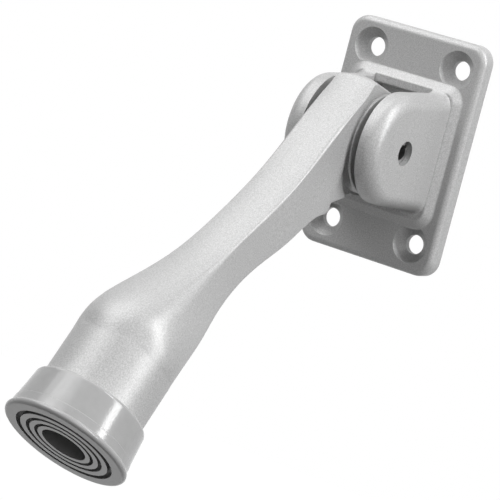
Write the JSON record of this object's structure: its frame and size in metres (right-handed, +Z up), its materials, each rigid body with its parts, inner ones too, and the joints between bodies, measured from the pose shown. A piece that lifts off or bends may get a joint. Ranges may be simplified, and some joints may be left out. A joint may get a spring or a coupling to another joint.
{
  "type": "kickdown door holder",
  "caption": "Cast door holder whose cranked arm swings down on a pin between two ears and props the door on a ribbed rubber foot.",
  "frame": {"origin": "centre of the base's back face, which lies on the door", "axes": "+Y into the door, +Z up, +X along the hinge pin; the arm stands out towards -Y"},
  "size_m": [0.0382, 0.1234, 0.1083],
  "materials": {
    "satin_paint": "satin silver paint with fine flake",
    "steel": "plain",
    "rubber": "smooth moulded"
  },
  "bodies": {
    "base": {"base_bracket": "satin_paint", "hinge_pin": "steel"},
    "arm": {"arm": "satin_paint", "foot_cap": "rubber", "detent_spring": "steel"},
    "ball": {"detent_ball": "steel"}
  },
  "joints": [
    {"name": "arm_hinge", "type": "hinge", "parent": "base", "child": "arm", "pos_m": [0, -0.02135, 0.0005], "axis": [-1, 0, 0], "range_deg": [0, 128]},
    {"name": "ball_slide", "type": "slide", "parent": "arm", "child": "ball", "axis": [1, 0, 0], "range_m": [0, 0.0005], "stiffness_N_per_m": 1200, "springref_m": 0.003, "deforming": ["detent_spring"]}
  ]
}
